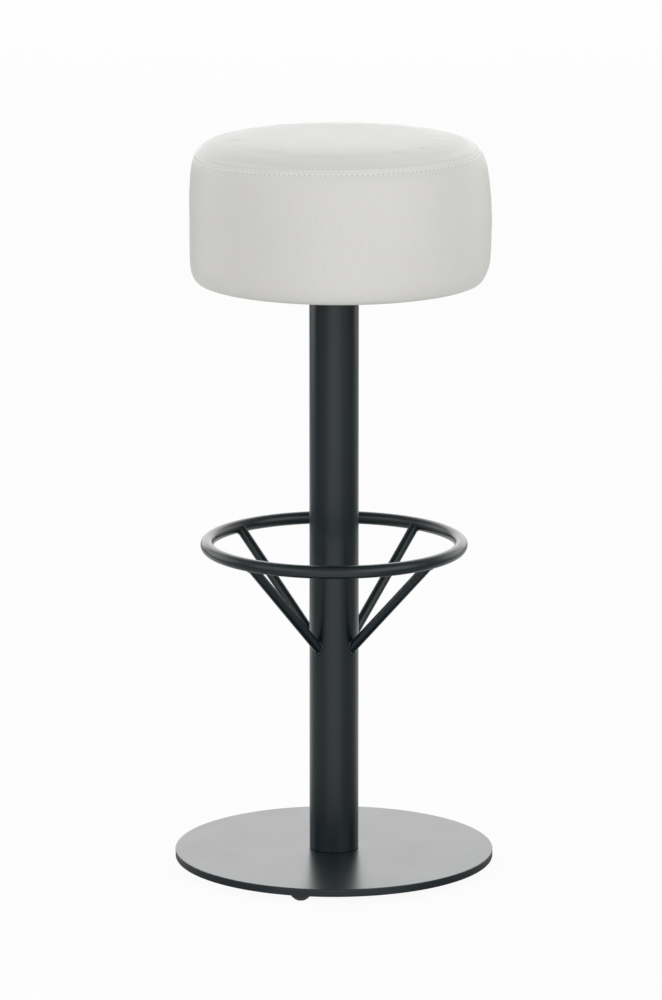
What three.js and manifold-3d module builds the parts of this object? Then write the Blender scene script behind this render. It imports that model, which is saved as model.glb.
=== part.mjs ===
// Counter stool: a round upholstered seat that turns on a fixed column, with a footrest ring.
// Millimetres, +Z up. The column's axis is the Z axis, the floor is Z = 0 and the front faces -Y.
import * as THREE from 'three';
import { mergeVertices } from 'three/addons/utils/BufferGeometryUtils.js';
import Module from 'manifold-3d';

const wasm = await Module();
wasm.setup();

// Driving dimensions
const basePlateDiameter = 370;
const basePlateThickness = 9;
const glideDiameter = 24;
const glideHeight = 9;
const columnDiameter = 57;
const columnWall = 2.5;
const columnLength = 652;
const footrestHeight = 380; // floor to the middle of the ring's bar
const footrestDiameter = 294; // across the middle of the ring's bar
const footrestBarDiameter = 15;
const strutDiameter = 11.5;
const strutDrop = 118; // from the middle of the ring's bar to where a strut meets the column
const spindleDiameter = 24;
const seatPlateWidth = 140;
const seatPlateThickness = 5;
const boardDiameter = 310;
const boardThickness = 18;
const cushionDiameter = 346.6; // at its widest
const cushionHeight = 165; // underside to the middle of the crown
const coverThickness = 1.2;

// Clearances
const fitGap = 0.3; // between a piece and the bore, face or weld that it is seated on
const runningGap = 0.4; // between the spindle and its bores
const endPlay = 0.3; // between faces that turn on each other
const overrun = 1; // how far a cutter reaches past the face that it opens

// Sides of the round pieces
const plateSides = 72;
const columnSides = 48;
const cushionSides = 40;
const boreSides = 24;
const screwSides = 16;
const barSides = 12;
const ringSteps = 64;
const plateCornerSteps = 6;
const cushionCornerSteps = 3;

// Angles
const quarterTurn = Math.PI / 2;
const footrestTurn = THREE.MathUtils.degToRad(4); // the struts stand a little round from the diagonals
const glideTurn = THREE.MathUtils.degToRad(-13.2);

// Base plate and the screws that hold the column on it
const basePlateChamfer = 0.8;
const baseScrewRadius = 4;
const baseScrewLength = 25;
const baseScrewHeadRadius = 8;
const baseScrewRecess = 0.3;
const baseScrewSocketWidth = 5;
const baseScrewSocketDepth = 3;
const baseScrewEdge = 5; // metal left in the foot plug outside each screw hole
const baseScrewCount = 3;
const footPlugHeight = 20;

// Glides and their screws
const glideCount = 4;
const glideInset = 6.5; // from the plate's edge to the glide's
const glideTreadWidth = 1.5; // flat ring that rests on the floor
const glideDomeHeight = 5.6; // from the floor to the foot of the straight side
const glideDomeSteps = 4;
const glideFloor = 3; // plastic between the screw's head and the plate
const glideScrewRadius = 2;
const glideScrewHeadRadius = 3.8;
const glideScrewHeadHeight = 2.2;
const glideScrewSocketWidth = 2.5;
const glideScrewSocketDepth = 1.3;
const glideHoleRoof = 3; // steel left above each blind hole in the plate
const glideScrewTipGap = 0.5;

// Swivel bearing in the head of the column
const headPlugHeight = 30;
const headPlugProud = 0.3;
const carrierHeight = 15;
const bushWall = 3.6;
const upperBushLength = 25;
const bushFlangeRadius = 20;
const bushFlangeThickness = 3;
const bushSpacing = 95; // from the top of the column down to the top of the lower carrier
const thrustWasherThickness = 2;
const collarHeight = 10;
const spigotRadius = 10;
const spindleWasherRadius = 18;
const spindleWasherThickness = 2;
const circlipThickness = 1.5;
const circlipWidth = 3;
const circlipMouth = 9;
const grooveDepth = 0.8;
const spindleTail = 5; // spindle left below the circlip
const spindleChamfer = 1.5;

// Seat plate, bolts and board
const seatPlateCorner = 12;
const seatBoltPitch = 110;
const seatBoltRadius = 4;
const seatBoltHeadWidth = 13;
const seatBoltHeadHeight = 5.3;
const seatBoltTipGap = 0.6;
const springWasherThickness = 2;
const springWasherWidth = 2.6;
const springWasherSlit = 1;
const plateHoleGap = 0.5;
const teeNutWall = 0.7;
const teeNutBarrel = 9;
const teeNutFlangeRadius = 9;
const teeNutFlangeThickness = 1.5;
const boardChamfer = 1;
const dustCoverThickness = 0.6;
const dustCoverHem = 13; // how far the dust cover laps under the band
const bandWrap = 27; // how far the band laps under the board from its edge

// Cushion outline, as heights above its underside and depths drawn in from its widest radius
const widestHeight = 70;
const cornerHeight = 27;
const cornerDepth = 10.7;
const sideDrawBelow = 0.7;
const shoulderHeight = 120;
const sideDrawAbove = 2.4;
const shoulderDraw = 6.7;
const shoulderPower = 4;
const seamHeight = 151.5;
const crownPower = 6.8;
const crownEasePower = 0.54;
const seamTuck = 1.6; // from the top panel's edge down to the band's, which leaves the seam's valley
const seamAllowance = 10; // edge of the top panel folded down behind the band
const crownRadiusShares = [1, 0.98, 0.93, 0.84, 0.7, 0.52, 0.28, 0];
const sideHeightShares = [0.5, 1];
const shoulderHeightShares = [0.35, 0.7, 1];

// Levels above the floor
const basePlateTop = glideHeight + basePlateThickness;
const columnTop = basePlateTop + columnLength;
const headPlugTop = columnTop + headPlugProud;
const upperBushTop = headPlugTop + bushFlangeThickness;
const thrustWasherTop = upperBushTop + thrustWasherThickness;
const collarTop = thrustWasherTop + endPlay + collarHeight;
const seatPlateTop = collarTop + seatPlateThickness;
const boardBottom = seatPlateTop + dustCoverThickness;
const carrierTop = columnTop - bushSpacing;
const carrierBottom = carrierTop - carrierHeight;
const spindleWasherBottom = carrierBottom - endPlay - spindleWasherThickness;
const circlipBottom = spindleWasherBottom - circlipThickness;
const spindleBottom = circlipBottom - spindleTail;

// Radii that follow from the sizes above
const columnRadius = columnDiameter / 2;
const plugRadius = columnRadius - columnWall - fitGap;
const spindleRadius = spindleDiameter / 2;
const spindleBoreRadius = spindleRadius + runningGap;
const bushRadius = spindleBoreRadius + bushWall;
const bushSeatRadius = bushRadius + fitGap;
const grooveRadius = spindleRadius - grooveDepth;
const circlipBoreRadius = grooveRadius + fitGap;
const baseScrewHoleRadius = baseScrewRadius + fitGap;
const baseScrewCircle = plugRadius - baseScrewEdge - baseScrewHoleRadius;
const glideHoleRadius = glideScrewRadius + fitGap;
const glideCircle = (basePlateDiameter - glideDiameter) / 2 - glideInset;
const footrestRadius = footrestDiameter / 2;
const barRadius = footrestBarDiameter / 2;
const boardRadius = boardDiameter / 2;
const seatBoltHoleRadius = seatBoltRadius + plateHoleGap;
const teeNutBoreRadius = seatBoltRadius + fitGap;
const teeNutRadius = teeNutBoreRadius + teeNutWall;
const cushionRadius = cushionDiameter / 2;
const bandEdgeRadius = boardRadius - bandWrap;

// Finishes
const powderCoat = new THREE.MeshStandardMaterial({ color: '#25292b', roughness: 0.45, metalness: 0.3 });
const zincSteel = new THREE.MeshStandardMaterial({ color: '#b7babd', roughness: 0.38, metalness: 0.9 });
const blackNylon = new THREE.MeshStandardMaterial({ color: '#17181a', roughness: 0.55, metalness: 0 });
const whiteNylon = new THREE.MeshStandardMaterial({ color: '#e4e2da', roughness: 0.5, metalness: 0 });
const plywood = new THREE.MeshStandardMaterial({ color: '#c9a678', roughness: 0.7, metalness: 0 });
const foam = new THREE.MeshStandardMaterial({ color: '#e6dcb9', roughness: 0.95, metalness: 0 });
const leather = new THREE.MeshStandardMaterial({ color: '#dcdbd6', roughness: 0.5, metalness: 0 });
const dustCloth = new THREE.MeshStandardMaterial({ color: '#242526', roughness: 0.95, metalness: 0 });

// A profile of [radius, height] pairs turned about the Z axis, from the axis back to the axis
function turned(profile, sides) {
  const points = profile.map(([radius, height]) => new THREE.Vector2(radius, height));
  return new THREE.LatheGeometry(points, sides).rotateX(quarterTurn);
}

// The same for a profile that runs round a bore and closes on itself
function turnedRing(profile, sides) {
  return turned([...profile, profile[0]], sides);
}

function disc(radius, bottom, top, sides) {
  return turned([[0, bottom], [radius, bottom], [radius, top], [0, top]], sides);
}

function ring(bore, radius, bottom, top, sides) {
  return turnedRing([[bore, bottom], [radius, bottom], [radius, top], [bore, top]], sides);
}

function hexagon(width, bottom, top) {
  const sides = 6;
  return disc(width / 2 / Math.cos(Math.PI / sides), bottom, top, sides);
}

function atPlace(geometry, x, y, z = 0) {
  return geometry.translate(x, y, z);
}

// Closed geometry to a solid: shared vertices merged, triangles of no area dropped
function solidOf(geometry) {
  const bare = geometry.clone();
  bare.deleteAttribute('normal');
  bare.deleteAttribute('uv');
  const merged = mergeVertices(bare);
  const corners = merged.index.array;
  const triangles = [];
  for (let i = 0; i < corners.length; i += 3) {
    const [a, b, c] = corners.slice(i, i + 3);
    if (a !== b && b !== c && c !== a) {
      triangles.push(a, b, c);
    }
  }
  return new wasm.Manifold(new wasm.Mesh({
    numProp: 3,
    vertProperties: new Float32Array(merged.attributes.position.array),
    triVerts: new Uint32Array(triangles),
  }));
}

function geometryOf(solid) {
  const { vertProperties, triVerts } = solid.getMesh();
  const geometry = new THREE.BufferGeometry();
  geometry.setAttribute('position', new THREE.BufferAttribute(vertProperties, 3));
  geometry.setIndex(new THREE.BufferAttribute(triVerts, 1));
  geometry.computeVertexNormals();
  return geometry;
}

function cutBy(geometry, cutters) {
  const body = cutters.reduce((rest, cutter) => rest.subtract(solidOf(cutter)), solidOf(geometry));
  return geometryOf(body);
}

function joined(first, second) {
  return geometryOf(solidOf(first).add(solidOf(second)));
}

// Places evenly round a circle, counted from the front
function placesRound(count, radius, turn = 0) {
  return Array.from({ length: count }, (_, i) => {
    const angle = turn + (i * 2 * Math.PI) / count;
    return [radius * Math.sin(angle), -radius * Math.cos(angle)];
  });
}

function cornersOfSquare(pitch) {
  const half = pitch / 2;
  return [[-half, -half], [half, -half], [half, half], [-half, half]];
}

function add(group, name, geometry, material, x = 0, y = 0, z = 0) {
  const mesh = new THREE.Mesh(geometry, material.clone());
  mesh.name = name;
  mesh.position.set(x, y, z);
  group.add(mesh);
  return mesh;
}

// Base: heights run from the plate's underside
function basePlate() {
  const radius = basePlateDiameter / 2;
  const thickness = basePlateThickness;
  const rim = radius - basePlateChamfer;
  const plate = turned([
    [0, 0],
    [rim, 0],
    [radius, basePlateChamfer],
    [radius, thickness - basePlateChamfer],
    [rim, thickness],
    [0, thickness],
  ], plateSides);
  const tapped = placesRound(glideCount, glideCircle, glideTurn).map(([x, y]) =>
    atPlace(disc(glideHoleRadius, -overrun, thickness - glideHoleRoof, screwSides), x, y));
  const sunk = placesRound(baseScrewCount, baseScrewCircle).map(([x, y]) =>
    atPlace(screwSink(thickness + overrun), x, y));
  return cutBy(plate, [...tapped, ...sunk]);
}

// Hole with a 90 degree countersink, clear of the screw's head by the fit gap square to the cone
function screwSink(top) {
  const mouth = baseScrewHeadRadius + baseScrewRecess + fitGap * Math.SQRT2;
  return turned([
    [0, -overrun],
    [mouth + overrun, -overrun],
    [baseScrewHoleRadius, mouth - baseScrewHoleRadius],
    [baseScrewHoleRadius, top],
    [0, top],
  ], screwSides);
}

function baseScrew() {
  const face = baseScrewRecess;
  const neck = face + baseScrewHeadRadius - baseScrewRadius;
  const tip = face + baseScrewLength;
  const body = turned([
    [0, face],
    [baseScrewHeadRadius, face],
    [baseScrewRadius, neck],
    [baseScrewRadius, tip],
    [0, tip],
  ], screwSides);
  return cutBy(body, [hexagon(baseScrewSocketWidth, face - overrun, face + baseScrewSocketDepth)]);
}

// Round glide: a narrow tread round the screw's pocket, domed from there up to its straight side
function glide() {
  const radius = glideDiameter / 2;
  const pocket = glideScrewHeadRadius + fitGap;
  const tread = pocket + glideTreadWidth;
  const floor = glideHeight - glideFloor;
  const dome = Array.from({ length: glideDomeSteps + 1 }, (_, i) => {
    const reach = THREE.MathUtils.lerp(tread, radius, i / glideDomeSteps);
    return [reach, (glideDomeHeight * (reach ** 2 - tread ** 2)) / (radius ** 2 - tread ** 2)];
  });
  return turnedRing([
    [pocket, 0],
    ...dome,
    [radius, glideHeight],
    [glideHoleRadius, glideHeight],
    [glideHoleRadius, floor],
    [pocket, floor],
  ], boreSides);
}

// Pan-head screw, its height counted from the head's seat in the glide
function glideScrew() {
  const tip = glideFloor + basePlateThickness - glideHoleRoof - glideScrewTipGap;
  const face = -glideScrewHeadHeight;
  const body = turned([
    [0, face],
    [glideScrewHeadRadius, face],
    [glideScrewHeadRadius, 0],
    [glideScrewRadius, 0],
    [glideScrewRadius, tip],
    [0, tip],
  ], screwSides);
  return cutBy(body, [hexagon(glideScrewSocketWidth, face - overrun, face + glideScrewSocketDepth)]);
}

function footPlug() {
  const plug = disc(plugRadius, 0, footPlugHeight, columnSides);
  const holes = placesRound(baseScrewCount, baseScrewCircle).map(([x, y]) =>
    atPlace(disc(baseScrewHoleRadius, -overrun, footPlugHeight + overrun, screwSides), x, y));
  return cutBy(plug, holes);
}

// Footrest: heights run from the middle of the ring's bar
function footrestRing() {
  return new THREE.TorusGeometry(footrestRadius, barRadius, barSides, ringSteps);
}

// A bar from the middle of the ring's bar to inside the column, coped to fit both
function strut() {
  const reach = footrestRadius - columnRadius;
  const top = new THREE.Vector3(0, -footrestRadius, 0);
  const run = new THREE.Vector3(0, reach, -strutDrop);
  const length = run.length() + strutDiameter;
  const bar = disc(strutDiameter / 2, 0, length, barSides);
  const upright = new THREE.Vector3(0, 0, 1);
  bar.applyQuaternion(new THREE.Quaternion().setFromUnitVectors(upright, run.normalize()));
  bar.translate(top.x, top.y, top.z);
  const ringCutter = new THREE.TorusGeometry(footrestRadius, barRadius + fitGap, barSides, ringSteps);
  const below = -strutDrop - columnDiameter;
  const columnCutter = disc(columnRadius + fitGap, below, columnDiameter, columnSides);
  return cutBy(bar, [ringCutter, columnCutter]);
}

// Flanged bush, its height counted from the face that its flange rests on
function bush(length) {
  return turnedRing([
    [spindleBoreRadius, -length],
    [bushRadius, -length],
    [bushRadius, 0],
    [bushFlangeRadius, 0],
    [bushFlangeRadius, bushFlangeThickness],
    [spindleBoreRadius, bushFlangeThickness],
  ], boreSides);
}

// Spindle, its height counted from the collar's top, where the seat plate rests
function spindle() {
  const bottom = spindleBottom - collarTop;
  const grooveBottom = circlipBottom - fitGap - collarTop;
  const grooveTop = spindleWasherBottom + fitGap - collarTop;
  return turned([
    [0, bottom],
    [spindleRadius - spindleChamfer, bottom],
    [spindleRadius, bottom + spindleChamfer],
    [spindleRadius, grooveBottom],
    [grooveRadius, grooveBottom],
    [grooveRadius, grooveTop],
    [spindleRadius, grooveTop],
    [spindleRadius, -collarHeight],
    [bushFlangeRadius, -collarHeight],
    [bushFlangeRadius, 0],
    [spigotRadius, 0],
    [spigotRadius, seatPlateThickness],
    [0, seatPlateThickness],
  ], boreSides);
}

function slitRing(bore, width, thickness, mouth) {
  const radius = bore + width;
  const slit = new THREE.BoxGeometry(mouth, radius, thickness + 2 * overrun);
  slit.translate(0, -radius / 2 - bore / 2, thickness / 2);
  return cutBy(ring(bore, radius, 0, thickness, boreSides), [slit]);
}

// Square plate with rounded corners, holed for the spindle's spigot and the bolts
function seatPlate() {
  const half = seatPlateWidth / 2;
  const inner = half - seatPlateCorner;
  const outline = new THREE.Shape();
  outline.absarc(inner, inner, seatPlateCorner, 0, quarterTurn);
  outline.absarc(-inner, inner, seatPlateCorner, quarterTurn, 2 * quarterTurn);
  outline.absarc(-inner, -inner, seatPlateCorner, 2 * quarterTurn, 3 * quarterTurn);
  outline.absarc(inner, -inner, seatPlateCorner, 3 * quarterTurn, 4 * quarterTurn);
  const plate = new THREE.ExtrudeGeometry(outline, {
    depth: seatPlateThickness,
    bevelEnabled: false,
    curveSegments: plateCornerSteps,
  });
  const top = seatPlateThickness + overrun;
  const spigotHole = disc(spigotRadius + fitGap, -overrun, top, boreSides);
  const boltHoles = cornersOfSquare(seatBoltPitch).map(([x, y]) =>
    atPlace(disc(seatBoltHoleRadius, -overrun, top, screwSides), x, y));
  return cutBy(plate, [spigotHole, ...boltHoles]);
}

// Hex bolt, its height counted from the underside of its head's seat
function seatBolt() {
  const length = springWasherThickness + seatPlateThickness + dustCoverThickness
    + boardThickness - seatBoltTipGap;
  const head = hexagon(seatBoltHeadWidth, -seatBoltHeadHeight, 0);
  return joined(head, disc(seatBoltRadius, -seatBoltHeadHeight / 2, length, screwSides));
}

// Tee nut, its height counted from the underside of its flange
function teeNut() {
  return turnedRing([
    [teeNutBoreRadius, -teeNutBarrel],
    [teeNutRadius, -teeNutBarrel],
    [teeNutRadius, 0],
    [teeNutFlangeRadius, 0],
    [teeNutFlangeRadius, teeNutFlangeThickness],
    [teeNutBoreRadius, teeNutFlangeThickness],
  ], screwSides);
}

function seatBoard() {
  const rim = boardRadius - boardChamfer;
  const board = turned([
    [0, 0],
    [rim, 0],
    [boardRadius, boardChamfer],
    [boardRadius, boardThickness - boardChamfer],
    [rim, boardThickness],
    [0, boardThickness],
  ], cushionSides);
  const pocketFloor = boardThickness - teeNutFlangeThickness;
  const top = boardThickness + overrun;
  const pockets = cornersOfSquare(seatBoltPitch).map(([x, y]) => atPlace(turned([
    [0, -overrun],
    [teeNutRadius + fitGap, -overrun],
    [teeNutRadius + fitGap, pocketFloor],
    [teeNutFlangeRadius + fitGap, pocketFloor],
    [teeNutFlangeRadius + fitGap, top],
    [0, top],
  ], screwSides), x, y));
  return cutBy(board, pockets);
}

// Cushion: heights run from the board's underside, which the band laps under
const underside = -coverThickness;
const bandTop = seamHeight - seamTuck;
const seamRadius = sideRadius(seamHeight);

// Radius of the side at a height above the cushion's underside
function sideRadius(height) {
  if (height < widestHeight) {
    const below = (widestHeight - height) / (widestHeight - cornerHeight);
    return cushionRadius - sideDrawBelow * below ** 2;
  }
  const above = (height - widestHeight) / (shoulderHeight - widestHeight);
  const round = Math.max(height - shoulderHeight, 0) / (seamHeight - shoulderHeight);
  return cushionRadius - sideDrawAbove * above ** 2 - shoulderDraw * round ** shoulderPower;
}

function point(radius, height) {
  return new THREE.Vector2(radius, underside + height);
}

// Rounded lower corner, from the flat underside up to the side
function cornerOutline() {
  const steps = cushionCornerSteps;
  const top = sideRadius(cornerHeight);
  return Array.from({ length: steps + 1 }, (_, i) => {
    const angle = (quarterTurn * i) / steps;
    const radius = top - cornerDepth * (1 - Math.sin(angle));
    return point(radius, cornerHeight * (1 - Math.cos(angle)));
  });
}

// Side and shoulder, from above the corner up to the band's top edge
function sideOutline() {
  const side = sideHeightShares.map((share) => cornerHeight + share * (shoulderHeight - cornerHeight));
  const shoulder = shoulderHeightShares.map((share) =>
    shoulderHeight + share * (bandTop - shoulderHeight));
  return [...side, ...shoulder].map((height) => point(sideRadius(height), height));
}

// Crown of the top panel, from the seam in to the axis
function crownOutline() {
  const rise = cushionHeight - seamHeight;
  return crownRadiusShares.map((share) =>
    point(share * seamRadius, seamHeight + rise * (1 - share ** crownPower) ** crownEasePower));
}

// The same line moved inwards, square to itself; a point on the axis stays there
function inset(line, distance) {
  return line.map((spot, i) => {
    const before = line[Math.max(i - 1, 0)];
    const after = line[Math.min(i + 1, line.length - 1)];
    const run = after.clone().sub(before).normalize();
    const radius = spot.x > 0 ? spot.x - run.y * distance : 0;
    return new THREE.Vector2(radius, spot.y + run.x * distance);
  });
}

function pairs(line) {
  return line.map((spot) => [spot.x, spot.y]);
}

// Outer line of the side band, from its edge under the board up to just below the seam
function bandOutline() {
  return [point(bandEdgeRadius, 0), ...cornerOutline(), ...sideOutline()];
}

// Inner line of the band, where the padding and the foam lie against it
function paddingLine() {
  return inset(bandOutline(), coverThickness + fitGap);
}

// Radius of a line at a height, between the points of it below and above
function radiusAt(line, height) {
  const i = line.findIndex((spot) => spot.y > height);
  const low = line[i - 1];
  const high = line[i];
  return THREE.MathUtils.mapLinear(height, low.y, high.y, low.x, high.x);
}

// The band's stretch that the top panel's folded edge lies behind, from below up
function allowanceOutline() {
  return [seamHeight - seamAllowance, bandTop].map((height) => point(sideRadius(height), height));
}

function coverBand() {
  const outer = bandOutline();
  const inner = inset(outer, coverThickness).reverse();
  return turnedRing(pairs([...outer, ...inner]), cushionSides);
}

function coverTop() {
  const crown = crownOutline();
  const lining = inset(crown, coverThickness).slice(1).reverse();
  const foldDepth = coverThickness + fitGap;
  const foldInside = inset(allowanceOutline(), foldDepth + coverThickness).reverse();
  const foldOutside = inset(allowanceOutline(), foldDepth);
  return turned(pairs([...lining, ...foldInside, ...foldOutside, ...crown]), cushionSides);
}

function foamBlock() {
  const bottom = boardThickness + fitGap;
  const foldLine = inset(allowanceOutline(), 2 * (coverThickness + fitGap));
  const side = paddingLine();
  const free = side.filter((spot) => spot.y > bottom && spot.y < foldLine[0].y);
  const crown = inset(crownOutline(), coverThickness + fitGap).slice(1);
  return turned([
    [0, bottom],
    [radiusAt(side, bottom), bottom],
    ...pairs([...free, ...foldLine, ...crown]),
  ], cushionSides);
}

function boardEdgePadding() {
  const bottom = 2 * fitGap;
  const top = boardThickness;
  const side = paddingLine();
  const bore = boardRadius + fitGap;
  return turnedRing([
    [bore, bottom],
    [radiusAt(side, bottom), bottom],
    ...pairs(side.filter((spot) => spot.y > bottom && spot.y < top)),
    [radiusAt(side, top), top],
    [bore, top],
  ], cushionSides);
}

// Flat under the board, with a hem that steps down and laps under the band's edge
function dustCover() {
  const step = bandEdgeRadius - fitGap;
  const rim = bandEdgeRadius + dustCoverHem;
  const cloth = turned([
    [0, -dustCoverThickness],
    [step - dustCoverThickness, -dustCoverThickness],
    [step - dustCoverThickness, underside - dustCoverThickness],
    [rim, underside - dustCoverThickness],
    [rim, underside],
    [step, underside],
    [step, 0],
    [0, 0],
  ], cushionSides);
  const holes = cornersOfSquare(seatBoltPitch).map(([x, y]) =>
    atPlace(disc(seatBoltHoleRadius, -overrun - dustCoverThickness, overrun, screwSides), x, y));
  return cutBy(cloth, holes);
}

// Assembly
const stool = new THREE.Group();

const stand = new THREE.Group();
stool.add(stand);
add(stand, 'base_plate', basePlate(), powderCoat, 0, 0, glideHeight);
placesRound(glideCount, glideCircle, glideTurn).forEach(([x, y], i) => {
  add(stand, `glide_${i + 1}`, glide(), blackNylon, x, y);
  add(stand, `glide_screw_${i + 1}`, glideScrew(), zincSteel, x, y, glideHeight - glideFloor);
});
placesRound(baseScrewCount, baseScrewCircle).forEach(([x, y], i) => {
  add(stand, `base_screw_${i + 1}`, baseScrew(), zincSteel, x, y, glideHeight);
});
const columnTube = ring(columnRadius - columnWall, columnRadius, 0, columnLength, columnSides);
add(stand, 'column_tube', columnTube, powderCoat, 0, 0, basePlateTop);
add(stand, 'column_foot_plug', footPlug(), zincSteel, 0, 0, basePlateTop);
const headPlug = ring(bushSeatRadius, plugRadius, 0, headPlugHeight, columnSides);
add(stand, 'column_head_plug', headPlug, zincSteel, 0, 0, headPlugTop - headPlugHeight);
const carrier = ring(bushSeatRadius, plugRadius, 0, carrierHeight, columnSides);
add(stand, 'lower_bush_carrier', carrier, zincSteel, 0, 0, carrierBottom);
add(stand, 'lower_bush', bush(carrierHeight), whiteNylon, 0, 0, carrierTop);
add(stand, 'upper_bush', bush(upperBushLength), whiteNylon, 0, 0, headPlugTop);
const thrustWasher = ring(spindleBoreRadius, bushFlangeRadius, 0, thrustWasherThickness, boreSides);
add(stand, 'thrust_washer', thrustWasher, zincSteel, 0, 0, upperBushTop);

const footrest = new THREE.Group();
footrest.position.z = footrestHeight;
footrest.rotation.z = footrestTurn;
stand.add(footrest);
add(footrest, 'footrest_ring', footrestRing(), powderCoat);
const strutTurns = { front_right: 1, back_right: 3, back_left: -3, front_left: -1 };
Object.entries(strutTurns).forEach(([corner, eighths]) => {
  const bar = add(footrest, `strut_${corner}`, strut(), powderCoat);
  bar.rotation.z = (eighths * quarterTurn) / 2;
});

// The seat's group stands at the board's underside
const seat = new THREE.Group();
seat.position.z = boardBottom;
stool.add(seat);
const plateBottom = -dustCoverThickness - seatPlateThickness;
add(seat, 'spindle', spindle(), zincSteel, 0, 0, plateBottom);
const spindleWasher = ring(spindleBoreRadius, spindleWasherRadius, 0, spindleWasherThickness, boreSides);
add(seat, 'spindle_washer', spindleWasher, zincSteel, 0, 0, spindleWasherBottom - boardBottom);
const circlip = slitRing(circlipBoreRadius, circlipWidth, circlipThickness, circlipMouth);
add(seat, 'circlip', circlip, zincSteel, 0, 0, circlipBottom - boardBottom);
add(seat, 'seat_plate', seatPlate(), powderCoat, 0, 0, plateBottom);
add(seat, 'seat_board', seatBoard(), plywood);
cornersOfSquare(seatBoltPitch).forEach(([x, y], i) => {
  const washer = slitRing(teeNutBoreRadius, springWasherWidth, springWasherThickness, springWasherSlit);
  const washerBottom = plateBottom - springWasherThickness;
  add(seat, `seat_bolt_${i + 1}`, seatBolt(), zincSteel, x, y, washerBottom);
  add(seat, `spring_washer_${i + 1}`, washer, zincSteel, x, y, washerBottom);
  add(seat, `tee_nut_${i + 1}`, teeNut(), zincSteel, x, y, boardThickness - teeNutFlangeThickness);
});
add(seat, 'board_edge_padding', boardEdgePadding(), foam);
add(seat, 'foam_block', foamBlock(), foam);
add(seat, 'cover_band', coverBand(), leather);
add(seat, 'cover_top', coverTop(), leather);
add(seat, 'dust_cover', dustCover(), dustCloth);

export default stool;
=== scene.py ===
import math

import bmesh
import bpy
from mathutils import Matrix, Vector, noise
from mathutils.bvhtree import BVHTree


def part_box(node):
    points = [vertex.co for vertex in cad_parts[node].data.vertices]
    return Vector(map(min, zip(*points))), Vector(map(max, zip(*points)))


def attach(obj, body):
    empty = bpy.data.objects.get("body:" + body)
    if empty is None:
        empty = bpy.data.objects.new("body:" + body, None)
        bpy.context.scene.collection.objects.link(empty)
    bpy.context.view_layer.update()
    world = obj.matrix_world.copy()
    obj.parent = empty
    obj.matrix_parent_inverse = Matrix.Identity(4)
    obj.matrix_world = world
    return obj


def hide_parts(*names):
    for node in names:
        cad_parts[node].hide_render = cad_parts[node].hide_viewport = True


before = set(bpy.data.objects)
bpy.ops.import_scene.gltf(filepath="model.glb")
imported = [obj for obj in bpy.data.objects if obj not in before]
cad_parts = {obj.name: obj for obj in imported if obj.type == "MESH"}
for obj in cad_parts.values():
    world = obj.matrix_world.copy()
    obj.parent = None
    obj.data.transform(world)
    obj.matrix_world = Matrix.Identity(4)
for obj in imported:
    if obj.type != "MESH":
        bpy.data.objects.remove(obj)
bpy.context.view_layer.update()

mm = 0.001  # every size below is written in millimetres times this
zAxis = Vector((0, 0, 1))
onePoint = 0.001 * mm  # points closer than this are merged
level = 0.1 * mm  # an edge that climbs less than this lies flat
smoothing = {"hard": 35, "foam": 40, "round": 60, "cloth": 180}  # degrees up to which an edge is smoothed


# Modelling helpers
def takePiece(name):
    piece = bpy.context.object
    piece.name = name
    piece.data.name = name
    return piece


def clearSelection():
    if bpy.context.mode != "OBJECT":
        bpy.ops.object.mode_set(mode="OBJECT")
    bpy.ops.object.select_all(action="DESELECT")


def selectOnly(piece):
    clearSelection()
    piece.select_set(True)
    bpy.context.view_layer.objects.active = piece


def openEdit(piece):
    selectOnly(piece)
    bpy.ops.object.mode_set(mode="EDIT")
    bpy.ops.mesh.select_all(action="DESELECT")


def pick(piece, kind, test):
    bpy.ops.mesh.select_mode(type=kind)
    bpy.ops.mesh.select_all(action="DESELECT")
    mesh = bmesh.from_edit_mesh(piece.data)
    for part in mesh.faces if kind == "FACE" else mesh.edges:
        part.select_set(test(part))
    bmesh.update_edit_mesh(piece.data)


def climb(edge):
    return abs(edge.verts[0].co.z - edge.verts[1].co.z)


def liesFlat(face):
    return abs(face.normal.z) > 0.999


def closeEdit(piece, kind="hard"):
    selectOnly(piece)
    bpy.ops.object.transform_apply(location=True, rotation=True, scale=True)
    bpy.ops.object.shade_smooth_by_angle(angle=math.radians(smoothing[kind]))


def useModifier(piece, kind, **settings):
    selectOnly(piece)
    modifier = piece.modifiers.new(kind.title(), kind)
    for key, value in settings.items():
        setattr(modifier, key, value)
    bpy.ops.object.modifier_apply(modifier=modifier.name)


# Cuts a tool's shape away, keeps only what lies in it or adds it, and takes the tool away
def combine(piece, tool, operation):
    useModifier(piece, "BOOLEAN", object=tool, operation=operation, solver="EXACT")
    bpy.data.objects.remove(tool, do_unlink=True)


def copyPiece(piece, name):
    copy = piece.copy()
    copy.data = piece.data.copy()
    copy.name = name
    copy.data.name = name
    bpy.context.collection.objects.link(copy)
    return copy


def joinPieces(pieces, name):
    selectOnly(pieces[0])
    for piece in pieces:
        piece.select_set(True)
    bpy.ops.object.join()
    return takePiece(name)


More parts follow.
